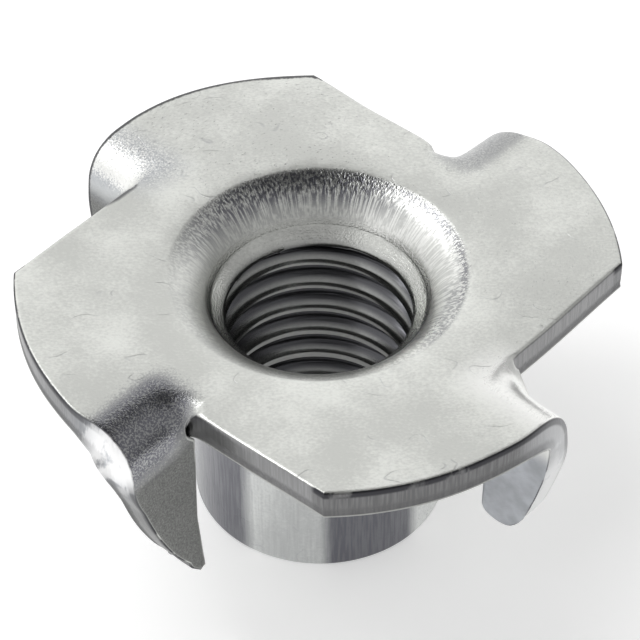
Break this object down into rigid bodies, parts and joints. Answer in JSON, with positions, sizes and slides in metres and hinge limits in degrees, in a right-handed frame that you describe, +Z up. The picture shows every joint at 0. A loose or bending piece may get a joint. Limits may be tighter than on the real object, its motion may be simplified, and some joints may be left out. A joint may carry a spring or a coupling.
{
  "type": "tee nut",
  "caption": "Pronged tee nut: slit sheet flange with folded prongs and a drawn, internally threaded barrel.",
  "frame": {"origin": "centre of the barrel's end face, which the nut stands on", "axes": "+Z up the thread's axis, from the barrel's end to the top of the flange; +X through one corner of the flange"},
  "size_m": [0.022, 0.022, 0.011],
  "materials": {
    "zinc_plated_steel": "satin bright zinc plate, grey and bare at the sheared edges"
  },
  "bodies": {
    "root": {"tee_nut": "zinc_plated_steel"}
  },
  "joints": []
}
